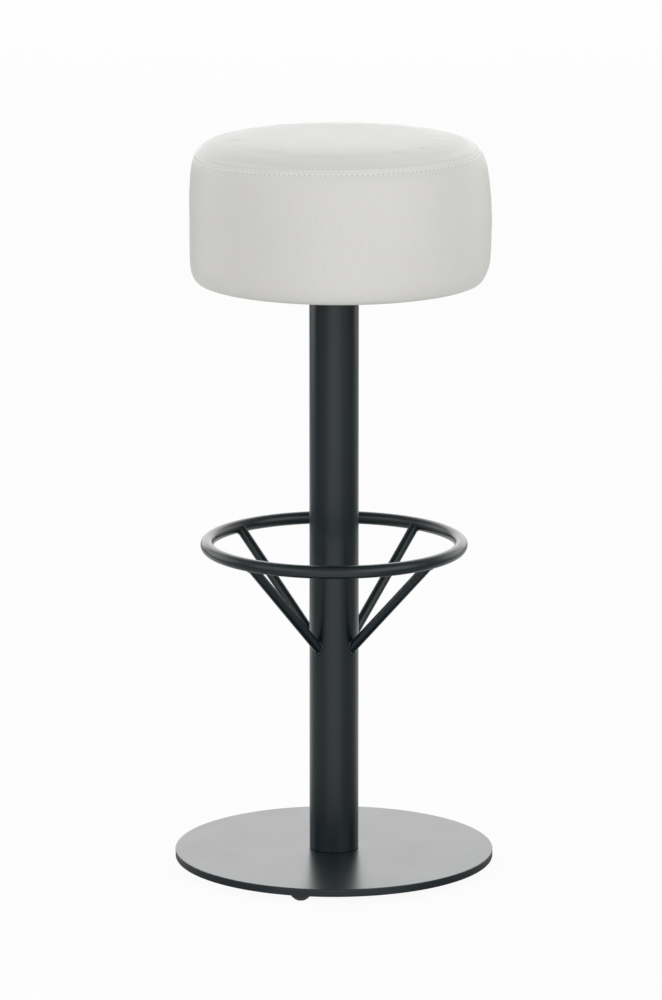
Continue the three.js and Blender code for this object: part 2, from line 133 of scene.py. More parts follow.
# Extrudes a line of (reach, height) points from one vertex and spins it round an upright axis
def spinLine(name, line, steps, around=(0, 0)):
    clearSelection()
    reach, height = line[0]
    bpy.ops.mesh.primitive_plane_add(size=mm, location=(around[0] + reach, around[1], height))
    piece = takePiece(name)
    bpy.ops.object.mode_set(mode="EDIT")
    bpy.ops.mesh.select_mode(type="VERT")
    bpy.ops.mesh.select_all(action="SELECT")
    bpy.ops.mesh.merge(type="CENTER")
    for before, after in zip(line, line[1:]):
        move = (after[0] - before[0], 0, after[1] - before[1])
        bpy.ops.mesh.extrude_vertices_move(TRANSFORM_OT_translate={"value": move})
    bpy.ops.mesh.select_all(action="SELECT")
    bpy.ops.mesh.spin(steps=steps, angle=math.tau, center=(*around, 0), axis=(0, 0, 1))
    bpy.ops.mesh.select_all(action="SELECT")
    bpy.ops.mesh.remove_doubles(threshold=onePoint)
    bpy.ops.mesh.normals_make_consistent(inside=False)
    return piece


def arc(centre, radius, fromAngle, toAngle, steps):
    turns = [math.radians(fromAngle + (toAngle - fromAngle) * i / steps) for i in range(steps + 1)]
    return [(centre[0] + radius * math.cos(a), centre[1] + radius * math.sin(a)) for a in turns]


def moveVertices(piece, move):
    for vertex in piece.data.vertices:
        vertex.co = move(vertex.co)
    piece.data.update()


def middle(node):
    low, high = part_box(node)
    return (Vector(low) + Vector(high)) / 2


def halfWidth(node):
    low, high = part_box(node)
    return (high[0] - low[0]) / 2


def bearing(angle, height=0):
    return Vector((math.cos(angle), math.sin(angle), height))


def ease(value, low, high):
    share = min(max((value - low) / (high - low), 0), 1)
    return share * share * (3 - 2 * share)


def bell(value, centre, width):
    return math.exp(-((value - centre) / width) ** 2)


def dress(piece, body, slot, material, *nodes):
    piece.data.materials.clear()
    piece.data.materials.append(material)
    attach(piece, body)
    if nodes:
        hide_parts(*nodes)
    return piece


# Copies the piece of a kind's first node to the places of the others, and dresses them all
def repeatPiece(first, node, count, *look):
    pieces = [first] + [copyPiece(first, first.name.replace("_1", f"_{i}")) for i in range(2, count + 1)]
    for i, piece in enumerate(pieces, 1):
        shift = middle(f"{node}_{i}") - middle(f"{node}_1")
        moveVertices(piece, lambda co: co + shift)
        dress(piece, *look, f"{node}_{i}")


# Material helpers
def linear(code):
    def channel(value):
        return value / 12.92 if value <= 0.04045 else ((value + 0.055) / 1.055) ** 2.4
    return tuple(channel(int(code[i:i + 2], 16) / 255) for i in (1, 3, 5)) + (1,)


def newMaterial(name):
    material = bpy.data.materials.new(name)
    material.use_nodes = True
    material.node_tree.nodes.clear()
    return material


# A key is a setting's name, or a socket's name or place. A node as a value is linked by its output in use
def addNode(material, kind, settings):
    tree = material.node_tree
    node = tree.nodes.new("ShaderNode" + kind)
    for key, value in settings.items():
        if isinstance(value, bpy.types.Node):
            value = next(socket for socket in value.outputs if socket.enabled)
        if isinstance(value, bpy.types.NodeSocket):
            tree.links.new(value, node.inputs[key])
        elif isinstance(key, int) or key in node.inputs:
            node.inputs[key].default_value = value
        else:
            setattr(node, key, value)
    return node


def perMetre(size):
    return 1 / size  # a pattern's scale on Object coordinates, from its real size


# Ends a material: its colour, a gloss that swings with one pattern and a relief that follows another
def finishMaterial(material, finish, colour, gloss, relief, metallic=0):
    rough = addNode(material, "MapRange", {
        "Value": gloss, "To Min": finish["roughness"] - finish["roughnessSwing"],
        "To Max": finish["roughness"] + finish["roughnessSwing"]})
    bump = addNode(material, "Bump", {"Strength": 1, "Distance": finish["depth"], "Height": relief})
    shader = addNode(material, "BsdfPrincipled", {
        "Metallic": metallic, "IOR": finish["ior"], "Base Color": colour, "Roughness": rough, "Normal": bump})
    addNode(material, "OutputMaterial", {"Surface": shader})
    return material


# Powder coat: dry polyester powder baked on steel. It gives a satin skin, near black with some blue-green
# in it, whose faint orange peel softens what it mirrors
powder = {
    "colour": "#08151a",
    "dull": "#0b1a1f",  # in broad, faint clouds
    "roughness": 0.3,
    "roughnessSwing": 0.03,
    "ior": 1.5,
    "peel": 1.1 * mm,  # across one dimple
    "depth": 0.012 * mm,
    "cloud": 60 * mm,
    "peelDetail": 2,
    "cloudDetail": 4,
}


def powderCoat():
    material = newMaterial("satinPowderCoat")
    place = addNode(material, "TexCoord", {}).outputs["Object"]
    cloud, peel = [addNode(material, "TexNoise", {
        "Vector": place, "Scale": perMetre(powder[part]), "Detail": powder[part + "Detail"],
    }) for part in ("cloud", "peel")]
    colour = addNode(material, "Mix", {
        "data_type": "RGBA", "Factor": cloud, "A": linear(powder["colour"]), "B": linear(powder["dull"])})
    return finishMaterial(material, powder, colour, cloud, peel)


# Topstitch: a row of lockstitch on either side of the cover's seam, in a channel that it pulls into the film
stitch = {
    "pitch": 6.1 * mm,
    "count": 172,  # the seam's length over the pitch
    "gap": 3.5 * mm,  # from the seam to either row
    "straightDown": 0.995,  # the share of that gap which is height on the band
    "length": 4.5 * mm,
    "thickness": 0.55 * mm,
    "proud": 0.15,  # of its thickness
    "search": 0.0005,
    "channel": 0.1 * mm,
    "channelWidth": 1 * mm,
}

# Faux leather: PU film embossed with a fine grain on a knit backing. It gives a soft white skin, barely
# glossy, a little darker in its pores, paler near the seam by painted light and dark in its needle holes by
# painted shade
leather = {
    "colour": "#d9d8d5",
    "pore": "#cdccc7",
    # painted light: the paler tone drawn near the seam
    "seamLight": "#dfdedb",
    "bandLightSpan": (2 * mm, 9 * mm),  # painted light, from full to none by the distance from the seam
    "crownLightSpan": (8 * mm, 21 * mm),
    # painted shade in the needle holes, as a share of the colour
    "holeShade": 0.35,
    "holeRadius": 0.5 * mm,  # twice the real one, so that it shows
    "holeFade": 1.6,
    "roughness": 0.46,
    "roughnessSwing": 0.04,
    "ior": 1.5,
    "grain": 1.1 * mm,  # the real emboss is nearer 0.7 mm, and is drawn coarser to show
    "depth": 0.05 * mm,
    "grainSmoothness": 0.4,
    "grainRandomness": 0.9,
    "mottle": 45 * mm,
    "mottleDetail": 3,
}


# Painted shade of the needle holes between the stitches, from the cover's own map
def needleHoleShade(material):
    seam = addNode(material, "UVMap", {"uv_map": "seamMap"})
    split = addNode(material, "SeparateXYZ", {"Vector": seam})
    part = addNode(material, "Math", {"operation": "FRACT", 0: split.outputs["X"]})
    along = addNode(material, "MapRange", {
        "Value": part, "To Min": -stitch["pitch"] / 2, "To Max": stitch["pitch"] / 2})
    across = addNode(material, "Math", {"operation": "SUBTRACT", 0: split.outputs["Y"], 1: stitch["gap"]})
    spot = addNode(material, "CombineXYZ", {"X": along, "Y": across})
    distance = addNode(material, "VectorMath", {"operation": "LENGTH", 0: spot})
    return addNode(material, "MapRange", {
        "Value": distance, "From Min": leather["holeRadius"],
        "From Max": leather["holeRadius"] * leather["holeFade"], "To Min": 1, "To Max": 0})


# Painted light: how much paler the film is drawn near the seam, where its slopes take less light.
# The map's V is past half a metre on the crown alone
def paintedSeamLight(material):
    seam = addNode(material, "UVMap", {"uv_map": "seamMap"})
    split = addNode(material, "SeparateXYZ", {"Vector": seam})
    crown = addNode(material, "Math", {"operation": "GREATER_THAN", 0: split.outputs["Y"], 1: 0.5})
    metres = addNode(material, "Math", {"operation": "FRACT", 0: split.outputs["Y"]})
    onBand, onTop = [addNode(material, "MapRange", {
        "interpolation_type": "SMOOTHSTEP", "Value": metres, "From Min": leather[panel][0],
        "From Max": leather[panel][1], "To Min": 1, "To Max": 0,
    }) for panel in ("bandLightSpan", "crownLightSpan")]
    onCrown = addNode(material, "Math", {"operation": "MULTIPLY", 0: onTop, 1: crown})
    return addNode(material, "Math", {"operation": "MAXIMUM", 0: onBand, 1: onCrown})


def fauxLeather():
    material = newMaterial("whiteFauxLeather")
    place = addNode(material, "TexCoord", {}).outputs["Object"]
    grain = addNode(material, "TexVoronoi", {
        "feature": "SMOOTH_F1", "Vector": place, "Scale": perMetre(leather["grain"]),
        "Smoothness": leather["grainSmoothness"], "Randomness": leather["grainRandomness"]})
    mottle = addNode(material, "TexNoise", {
        "Vector": place, "Scale": perMetre(leather["mottle"]), "Detail": leather["mottleDetail"]})
    colour = addNode(material, "Mix", {
        "data_type": "RGBA", "Factor": grain, "A": linear(leather["colour"]), "B": linear(leather["pore"])})
    # painted light: the film is drawn paler near the seam
    film = addNode(material, "Mix", {
        "data_type": "RGBA", "Factor": paintedSeamLight(material), "A": colour, "B": linear(leather["seamLight"])})
    # painted shade: the needle holes darken the colour
    holeShaded = addNode(material, "Mix", {
        "data_type": "RGBA", "blend_type": "MULTIPLY", "Factor": needleHoleShade(material), "A": film,
        "B": (leather["holeShade"],) * 3 + (1,)})
    return finishMaterial(material, leather, holeShaded, mottle, grain)


# The lesser finishes: a light tone over a dark one in a fine noise, which also sets the gloss and the height
lesser = {"detail": 3, "roughnessSwing": 0.05, "ior": 1.5}


def grainyMaterial(name, light, dark, grain, depth, roughness, metallic=0):
    material = newMaterial(name)
    place = addNode(material, "TexCoord", {}).outputs["Object"]
    fine = addNode(material, "TexNoise", {
        "Vector": place, "Scale": perMetre(grain), "Detail": lesser["detail"]})
    colour = addNode(material, "Mix", {
        "data_type": "RGBA", "Factor": fine, "A": linear(dark), "B": linear(light)})
    finish = dict(lesser, roughness=roughness, depth=depth)
    return finishMaterial(material, finish, colour, fine, fine, metallic)


satinCoat = powderCoat()
whiteLeather = fauxLeather()
# Moulded nylon, spark-textured by its mould: a dull black with a soft sheen
blackNylon = grainyMaterial("mouldedBlackNylon", "#1b1c1d", "#131415", 0.4 * mm, 0.01 * mm, 0.5)
# Turned nylon: a waxy off-white with fine tool marks
whiteNylon = grainyMaterial("turnedWhiteNylon", "#e6e4dc", "#d9d6cc", 0.6 * mm, 0.01 * mm, 0.45)
# Zinc-plated steel, clear passivated: a pale cool metal, satin from the plating's crystals
zincSteel = grainyMaterial("zincPlatedSteel", "#c3c6ca", "#a5a8ac", 0.8 * mm, 0.005 * mm, 0.36, 1)
# Birch plywood, sanded and bare: straw-coloured and matt, flecked by its pores
birchPly = grainyMaterial("birchPlywood", "#d3b386", "#b48f60", 2.5 * mm, 0.05 * mm, 0.7)
# Polyether foam, wire-cut: cream, open-pored and fully matt
creamFoam = grainyMaterial("polyetherFoam", "#eee4c2", "#cdbf95", 0.9 * mm, 0.3 * mm, 0.95)
# Spunbond polypropylene: a thin matt black cloth, mottled by its pressed fibres
blackCloth = grainyMaterial("spunbondDustCloth", "#2c2d2f", "#1c1d1e", 0.5 * mm, 0.1 * mm, 0.92)
# Polyester thread, twisted: off-white, a shade darker than the film, so that the stitches show
threadWhite = grainyMaterial("polyesterThread", "#d6d4cf", "#c6c4be", 0.3 * mm, 0.05 * mm, 0.6)
print("stage: materials made")


# Base plate: laser-cut steel disc, its edge eased, countersunk from below for the column's screws
plate = {"steps": 192, "edgeRound": 0.9 * mm, "roundSteps": 4, "flatRim": 1.5 * mm,
         "screws": 3, "mouthGap": 0.8 * mm, "sinkSteps": 48}


def makeBasePlate():
    low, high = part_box("base_plate")
    clearSelection()
    bpy.ops.mesh.primitive_cylinder_add(
        vertices=plate["steps"], radius=halfWidth("base_plate"), depth=high[2] - low[2],
        location=(0, 0, (low[2] + high[2]) / 2))
    piece = takePiece("basePlate")
    openEdit(piece)
    pick(piece, "EDGE", lambda edge: climb(edge) < level)
    bpy.ops.mesh.bevel(offset=plate["edgeRound"], segments=plate["roundSteps"], affect="EDGES")
    pick(piece, "FACE", liesFlat)
    bpy.ops.mesh.inset(thickness=plate["flatRim"])  # keeps the big faces' shading flat up to the rim
    closeEdit(piece)
    for i in range(plate["screws"]):
        screw = f"base_screw_{i + 1}"
        mouth = halfWidth(screw) + plate["mouthGap"]
        centre = middle(screw)
        clearSelection()
        bpy.ops.mesh.primitive_cone_add(
            vertices=plate["sinkSteps"], radius1=2 * mouth, radius2=0, depth=2 * mouth,
            location=(centre.x, centre.y, low[2]))
        combine(piece, takePiece("sinkCutter"), "DIFFERENCE")
    closeEdit(piece)
    dress(piece, "stand", "powder_coat", satinCoat, "base_plate")


# Column: welded steel tube, ground smooth, its cut ends eased
column = {"steps": 128, "wall": 2.5 * mm, "endRound": 0.5 * mm}


def makeColumn():
    low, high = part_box("column_tube")
    radius = halfWidth("column_tube")
    bore = radius - column["wall"]
    eased = column["endRound"]
    line = [(bore, low[2]), (radius - eased, low[2]), (radius, low[2] + eased)]
    line += [(radius, high[2] - eased), (radius - eased, high[2]), (bore, high[2]), (bore, low[2])]
    piece = spinLine("columnTube", line, column["steps"])
    closeEdit(piece)
    dress(piece, "stand", "powder_coat", satinCoat, "column_tube")


# Glides: moulded feet, domed from a narrow tread round the screw's pocket up to a straight side
glide = {
    "steps": 40,
    "pocket": 4.1 * mm,
    "pocketDepth": 5.9 * mm,
    "tread": 5.4 * mm,
    "treadRound": 0.4 * mm,
    "roundSteps": 3,
    "domeHeight": 5.6 * mm,
    "domeSteps": 8,
    "count": 4,
}


def makeGlides():
    low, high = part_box("glide_1")
    radius = halfWidth("glide_1")
    centre = middle("glide_1")
    tread = glide["tread"]
    lip = glide["treadRound"]
    pocket = glide["pocket"]
    line = [(0, glide["pocketDepth"]), (pocket, glide["pocketDepth"])]
    line += arc((pocket + lip, lip), lip, 180, 270, glide["roundSteps"])
    for i in range(glide["domeSteps"] + 1):
        reach = tread + (radius - tread) * i / glide["domeSteps"]
        rise = (reach ** 2 - tread ** 2) / (radius ** 2 - tread ** 2)
        line.append((reach, rise * glide["domeHeight"]))
    line += [(radius, high[2]), (0, high[2])]
    first = spinLine("glideFoot_1", line, glide["steps"], (centre.x, centre.y))
    closeEdit(first)
    repeatPiece(first, "glide", glide["count"], "stand", "black_nylon", blackNylon)


def ringPlace():
    low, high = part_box("footrest_ring")
    bar = (high[2] - low[2]) / 2
    return bar, halfWidth("footrest_ring") - bar, (low[2] + high[2]) / 2


# Footrest: a round bar rolled to a ring and butt-welded at the back
footrest = {"ringSteps": 220, "barSteps": 36, "jointAngle": 1.2, "jointSwell": 0.25 * mm}


def makeRing():
    bar, reach, height = ringPlace()
    clearSelection()
    bpy.ops.mesh.primitive_torus_add(
        major_segments=footrest["ringSteps"], minor_segments=footrest["barSteps"],
        major_radius=reach, minor_radius=bar, location=(0, 0, height))
    piece = takePiece("footrestRing")
    openEdit(piece)
    limit = math.radians(footrest["jointAngle"])

    def atJoint(face):
        centre = face.calc_center_median()
        return abs(math.atan2(centre.x, centre.y)) < limit

    pick(piece, "FACE", atJoint)
    bpy.ops.transform.shrink_fatten(value=footrest["jointSwell"])
    closeEdit(piece, "round")
    dress(piece, "stand", "powder_coat", satinCoat, "footrest_ring")


# Struts: round bars welded under the ring and on the column's side, all turned a few degrees off the corners
strut = {"steps": 40, "radius": 5.75 * mm, "footDrop": 118 * mm, "bite": 1.5 * mm, "turn": 4,
         "corners": {"front_right": 45, "back_right": 135, "back_left": -135, "front_left": -45}}
weld = {"size": 1.15 * mm, "steps": 48, "sides": 12, "ripples": 11, "ripple": 0.1,
        "search": 30 * mm, "halvings": 30}


# A weld bead: a torus round the bar, each point of it slid along until it lies on the surface that it joins
def makeWeld(name, seat, along, surface):
    clearSelection()
    bpy.ops.mesh.primitive_torus_add(
        major_segments=weld["steps"], minor_segments=weld["sides"],
        major_radius=strut["radius"], minor_radius=weld["size"],
        location=seat, rotation=zAxis.rotation_difference(along).to_euler())
    piece = takePiece(name)
    closeEdit(piece, "round")
    side = along.orthogonal().normalized()
    other = along.cross(side)

    def settle(co):
        away = co - seat
        out = (away - away.dot(along) * along).normalized()
        heart = seat + out * strut["radius"]
        near, far = -weld["search"], weld["search"]
        for _ in range(weld["halvings"]):
            half = (near + far) / 2
            if surface(heart + along * half) > 0:
                near = half
            else:
                far = half
        angle = math.atan2(out.dot(other), out.dot(side))
        swell = 1 + weld["ripple"] * math.sin(weld["ripples"] * angle)
        return heart + along * near + (co - heart) * swell

    moveVertices(piece, settle)
    dress(piece, "stand", "powder_coat", satinCoat)


def makeStruts():
    bar, reach, height = ringPlace()
    tube = halfWidth("column_tube")

    def fromColumn(spot):
        return math.hypot(spot.x, spot.y) - tube

    def fromRing(spot):
        return math.hypot(math.hypot(spot.x, spot.y) - reach, spot.z - height) - bar

    for corner, degrees in strut["corners"].items():
        angle = math.radians(degrees + strut["turn"])
        away = Vector((math.sin(angle), -math.cos(angle), 0))
        top = away * reach + zAxis * height
        foot = away * tube + zAxis * (height - strut["footDrop"])
        along = (foot - top).normalized()
        end = foot + along * strut["bite"]
        clearSelection()
        bpy.ops.mesh.primitive_cylinder_add(
            vertices=strut["steps"], radius=strut["radius"], depth=(end - top).length,
            location=(top + end) / 2, rotation=zAxis.rotation_difference(along).to_euler())
        piece = takePiece(f"footrestStrut_{corner}")
        openEdit(piece)
        pick(piece, "FACE", lambda face: len(face.verts) > 4)  # the bar's two ends
        bpy.ops.mesh.inset(thickness=strut["bite"] / 2)
        closeEdit(piece)
        dress(piece, "stand", "powder_coat", satinCoat, f"strut_{corner}")
        makeWeld(f"strutFootWeld_{corner}", foot, along, fromColumn)
        makeWeld(f"strutTopWeld_{corner}", top, -along, fromRing)


# Seat plate: flat steel square, corners rounded, edges eased
seatPlate = {"corner": 12 * mm, "cornerSteps": 10, "edgeRound": 0.6 * mm, "roundSteps": 3,
             "flatRim": 1.5 * mm}


def makeSeatPlate():
    low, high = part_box("seat_plate")
    side = high[0] - low[0]
    clearSelection()
    bpy.ops.mesh.primitive_cube_add(size=1, location=middle("seat_plate"),
                                    scale=(side, side, high[2] - low[2]))
    piece = takePiece("seatPlate")
    closeEdit(piece)
    openEdit(piece)
    pick(piece, "EDGE", lambda edge: climb(edge) > level)
    bpy.ops.mesh.bevel(offset=seatPlate["corner"], segments=seatPlate["cornerSteps"], affect="EDGES")
    pick(piece, "EDGE", lambda edge: len({liesFlat(face) for face in edge.link_faces}) == 2)
    bpy.ops.mesh.bevel(offset=seatPlate["edgeRound"], segments=seatPlate["roundSteps"], affect="EDGES")
    pick(piece, "FACE", liesFlat)
    bpy.ops.mesh.inset(thickness=seatPlate["flatRim"])
    closeEdit(piece)
    dress(piece, "seat", "powder_coat", satinCoat, "seat_plate")


# Seat bolts: zinc-plated hexagon bolts, the corners of their heads turned off to a cone
bolt = {"count": 4, "acrossFlats": 13 * mm, "headDepth": 5.3 * mm, "shank": 4 * mm, "shankSteps": 32,
        "faceShare": 0.97, "coneSpread": 3, "coneDepth": 1.15, "coneSteps": 48,
        "tip": 0.8 * mm, "tipSteps": 2}


def makeBolts():
    low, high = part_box("seat_bolt_1")
    centre = middle("seat_bolt_1")
    half = low[2] + bolt["headDepth"] / 2
    clearSelection()
    bpy.ops.mesh.primitive_cylinder_add(
        vertices=6, radius=bolt["acrossFlats"] / math.sqrt(3), depth=bolt["headDepth"],
        location=(centre.x, centre.y, half))
    first = takePiece("seatBolt_1")
    face = bolt["acrossFlats"] / 2 * bolt["faceShare"]
    depth = face * bolt["coneDepth"]
    clearSelection()
    bpy.ops.mesh.primitive_cone_add(
        vertices=bolt["coneSteps"], radius1=face, radius2=face * bolt["coneSpread"], depth=depth,
        location=(centre.x, centre.y, low[2] + depth / 2))
    combine(first, takePiece("headCone"), "INTERSECT")
    length = high[2] - half
    clearSelection()
    bpy.ops.mesh.primitive_cylinder_add(
        vertices=bolt["shankSteps"], radius=bolt["shank"], depth=length,
        location=(centre.x, centre.y, (high[2] + half) / 2))
    shank = takePiece("boltShank")
    openEdit(shank)
    pick(shank, "EDGE", lambda edge: min(vertex.co.z for vertex in edge.verts) > length / 2 - level)
    bpy.ops.mesh.bevel(offset=bolt["tip"], segments=bolt["tipSteps"], affect="EDGES")
    closeEdit(shank)
    combine(first, shank, "UNION")
    closeEdit(first)
    repeatPiece(first, "seat_bolt", bolt["count"], "seat", "zinc_steel", zincSteel)


# The bead that joins the spindle's collar to the seat plate
collarWeld = {"size": 1.7 * mm, "steps": 96, "sides": 12, "ripple": 0.12 * mm, "ripples": 34}


def makeCollarWeld():
    clearSelection()
    bpy.ops.mesh.primitive_torus_add(
        major_segments=collarWeld["steps"], minor_segments=collarWeld["sides"],
        major_radius=halfWidth("spindle"), minor_radius=collarWeld["size"],
        location=(0, 0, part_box("seat_plate")[0][2]))
    piece = takePiece("collarWeld")
    closeEdit(piece, "round")

    def ripple(co):
        angle = math.atan2(co.y, co.x)
        return co + Vector((0, 0, collarWeld["ripple"] * math.sin(collarWeld["ripples"] * angle)))

    moveVertices(piece, ripple)
    dress(piece, "seat", "powder_coat", satinCoat)


# Seat cushion: a drum of foam on the board, in a sewn cover that is pulled under and stapled
cushion = {
    "underside": 690 * mm,
    "radius": 172.8 * mm,
    "seamHeight": 151.5 * mm,
    "seamSink": 0.2 * mm,  # how far the thread pulls the seam in
    "crown": 12.6 * mm,
    "crownPower": 6.8,
    "crownEase": 0.54,
    "cornerHeight": 27 * mm,
    "cornerDepth": 10.7 * mm,
    "lapEdge": 128 * mm,
    "thickness": 1.2 * mm,
    "steps": 180,
}

# Its side, in millimetres: widest at the waist, drawn in a little below it and more up to the seam
side = {"waist": 70, "footPull": 0.7, "footSpan": 43, "headPull": 2.4, "headSpan": 50,
        "neck": 120, "neckPull": 6.7, "neckSpan": 31.5}


def sideRadius(height):
    h = height / mm
    if h < side["waist"]:
        return cushion["radius"] - side["footPull"] * ((side["waist"] - h) / side["footSpan"]) ** 2 * mm
    head = side["headPull"] * ((h - side["waist"]) / side["headSpan"]) ** 2
    neck = side["neckPull"] * (max(h - side["neck"], 0) / side["neckSpan"]) ** 4
    return cushion["radius"] - (head + neck) * mm


def crownPoint(share):
    climbed = (1 - share ** cushion["crownPower"]) ** cushion["crownEase"]
    return share * sideRadius(cushion["seamHeight"]), cushion["seamHeight"] + cushion["crown"] * climbed


def cornerPoint(turn):
    edge = sideRadius(cushion["cornerHeight"])
    inwards = cushion["cornerDepth"] * (1 - math.sin(turn))
    return edge - inwards, cushion["cornerHeight"] * (1 - math.cos(turn))


# The cushion sits to the right of its column, by these millimetres. Its right side also swells a little low
# down and tucks in at the foot, each by a size, a height and a width
shift = {"foot": 6.2, "waist": 70, "waistGain": 1.4, "headLoss": 2.8, "headSpan": 95,
         "edge": (130 * mm, 165 * mm), "above": (19 * mm, 40 * mm),
         "bulges": ((0.4, 40, 24), (-1.4, 5, 11))}


def sideways(height):
    h = height / mm
    gain = shift["waistGain"] * min(h, shift["waist"]) / shift["waist"]
    loss = shift["headLoss"] * max(h - shift["waist"], 0) / shift["headSpan"]
    return (shift["foot"] + gain - loss) * mm


def lean(co):
    height = co.z - cushion["underside"]
    radius = math.hypot(co.x, co.y)
    edge = ease(radius, *shift["edge"])
    share = max(edge, ease(height, *shift["above"]))
    right = max(co.x / max(radius, mm), 0) ** 2 * edge
    bulge = sum(size * bell(height / mm, place, width) for size, place, width in shift["bulges"])
    return Vector((co.x + share * sideways(height) + right * bulge * mm, co.y, co.z))


# The cover sits a little askew on its foam, so its seam runs lower on the front and most on its left. The
# slip is in millimetres, the angles are in degrees from the front, and the rows sample the cover's outline
slip = {"front": 2, "left": 7, "leftAngle": -70, "leftWidth": 42, "toBack": (180, 110), "reach": 38 * mm,
        "inner": 125 * mm, "low": 100 * mm, "bandRows": (96, 151),
        "crownShare": 0.28, "crownRows": 60, "crownSpread": 1.6}


# The outline beside the seam, by the length along it: down the band below zero, up the crown above
def seamOutline():
    points = [(sideRadius(h * mm), h * mm) for h in range(*slip["bandRows"])]
    start = len(points)
    for i in range(slip["crownRows"] + 1):
        points.append(crownPoint(1 - slip["crownShare"] * (i / slip["crownRows"]) ** slip["crownSpread"]))
    lengths = [0]
    for before, after in zip(points, points[1:]):
        lengths.append(lengths[-1] + math.hypot(after[0] - before[0], after[1] - before[1]))
    return [(length - lengths[start], *point) for length, point in zip(lengths, points)]


def slide(co, outline=seamOutline()):
    radius = math.hypot(co.x, co.y)
    height = co.z - cushion["underside"]
    if radius < slip["inner"] or height < slip["low"]:
        return co
    nearest = min(outline, key=lambda row: (row[1] - radius) ** 2 + (row[2] - height) ** 2)
    degrees = math.degrees(math.atan2(co.x, -co.y))
    drop = slip["front"] + slip["left"] * bell(degrees, slip["leftAngle"], slip["leftWidth"])
    drop *= ease(abs(degrees), *slip["toBack"]) * mm
    target = nearest[0] - drop * (1 - ease(abs(nearest[0]), 0, slip["reach"]))
    index = next((i for i, row in enumerate(outline) if row[0] > target), outline.index(nearest))
    before, after = outline[max(index - 1, 0)], outline[index]
    share = (target - before[0]) / max(after[0] - before[0], onePoint)
    out = before[1] + share * (after[1] - before[1]) - nearest[1]
    up = before[2] + share * (after[2] - before[2]) - nearest[2]
    return co + Vector((co.x, co.y, 0)).normalized() * out + zAxis * up


# The front of the crown is rounder than its back: it drops away a little sooner inside the seam
crownFront = {"drop": 2.7 * mm, "narrowing": 1.5, "onset": 5 * mm, "fade": (18 * mm, 90 * mm)}


def frontDrop(co):
    radius = math.hypot(co.x, co.y)
    inside = sideRadius(cushion["seamHeight"]) - radius
    front = max(-co.y / max(radius, mm), 0) ** crownFront["narrowing"]
    onset = 1 - math.exp(-max(inside, 0) / crownFront["onset"])
    return crownFront["drop"] * front * onset * (1 - ease(inside, *crownFront["fade"]))


# The soft unevenness of foam under a cover, as layers of a width, a place in the noise and a depth
uneven = ((95 * mm, (3.1, 7.7, 1.3), 0.9), (38 * mm, (11.2, 2.4, 5.9), 0.15))


def unevenness(co):
    return sum(depth * noise.noise(co / width + Vector(place)) for width, place, depth in uneven) * mm


# The cover is blown up for a few frames as cloth, pinned where it is sewn or stapled
swelling = {"pressure": 4, "stretch": 60, "bend": 4, "frames": 20, "most": 1.2 * mm, "lapPin": 1 * mm,
            "crownPin": 2.5 * mm, "bandPin": 3.5 * mm, "allowancePin": (1 * mm, 9 * mm)}


def swellCloth(piece, pinned):
    settle = [vertex.co.copy() for vertex in piece.data.vertices]
    outwards = [vertex.normal.copy() for vertex in piece.data.vertices]
    group = piece.vertex_groups.new(name="sewnOrStapled")
    group.add([i for i, co in enumerate(settle) if pinned(co)], 1, "ADD")
    selectOnly(piece)
    cloth = piece.modifiers.new("Cloth", "CLOTH")
    cloth.settings.vertex_group_mass = "sewnOrStapled"
    cloth.settings.use_pressure = True
    cloth.settings.uniform_pressure_force = swelling["pressure"]
    cloth.settings.tension_stiffness = swelling["stretch"]
    cloth.settings.compression_stiffness = swelling["stretch"]
    cloth.settings.bending_stiffness = swelling["bend"]
    cloth.settings.effector_weights.gravity = 0
    cloth.collision_settings.use_collision = False
    cloth.point_cache.frame_start = 1
    cloth.point_cache.frame_end = swelling["frames"]
    for i in range(swelling["frames"]):
        bpy.context.scene.frame_set(i + 1)
    swollen = piece.evaluated_get(bpy.context.evaluated_depsgraph_get())
    after = [vertex.co.copy() for vertex in swollen.data.vertices]
    piece.modifiers.remove(cloth)
    piece.vertex_groups.clear()
    bpy.context.scene.frame_set(1)
    most = 0
    for vertex, before, moved, normal in zip(piece.data.vertices, settle, after, outwards):
        move = moved - before
        most = max(most, move.length)
        move -= normal * min(move.dot(normal), 0)  # the foam is in the way
        if move.length > swelling["most"]:
            move *= swelling["most"] / move.length
        vertex.co = before + move
    piece.data.update()
    print("stage: cloth swelled", piece.name, "most", round(most / mm, 2), "mm")


def seamPlace():
    seamHeight = cushion["seamHeight"]
    return sideRadius(seamHeight) - cushion["seamSink"], cushion["underside"] + seamHeight


def fromSeam(co):
    radius, height = seamPlace()
    return math.hypot(math.hypot(co.x, co.y) - radius, co.z - height)


# Work by hand on the swollen cover: unevenness, the row of stitches' channel, puckers at the seam
handwork = {"lap": 4 * mm, "turn": (8 * mm, 6 * mm), "fromSeam": (2 * mm, 40 * mm),
            "fromFoot": (4 * mm, 40 * mm), "pucker": 0.25 * mm, "puckers": 13, "puckerPlace": 7 * mm,
            "puckerWidth": 9 * mm, "puckerStart": 4 * mm}


def outward(co, height):
    seamHeight = cushion["seamHeight"]
    slope = zAxis * ease(height, seamHeight - handwork["turn"][0], seamHeight + handwork["turn"][1])
    return (Vector((co.x, co.y, 0)).normalized() * (1 - slope.z) + slope).normalized()


def finishCover(piece):
    def work(co):
        height = co.z - cushion["underside"]
        if height < handwork["lap"]:
            return co
        distance = fromSeam(co)
        push = unevenness(co) * ease(distance, *handwork["fromSeam"]) * ease(height, *handwork["fromFoot"])
        push -= stitch["channel"] * bell(distance, stitch["gap"], stitch["channelWidth"])
        pucker = noise.noise(bearing(math.atan2(co.y, co.x)) * handwork["puckers"])
        pucker *= handwork["pucker"] * bell(distance, handwork["puckerPlace"], handwork["puckerWidth"])
        push += pucker * ease(distance, 0, handwork["puckerStart"])
        return co + outward(co, height) * push

    moveVertices(piece, work)
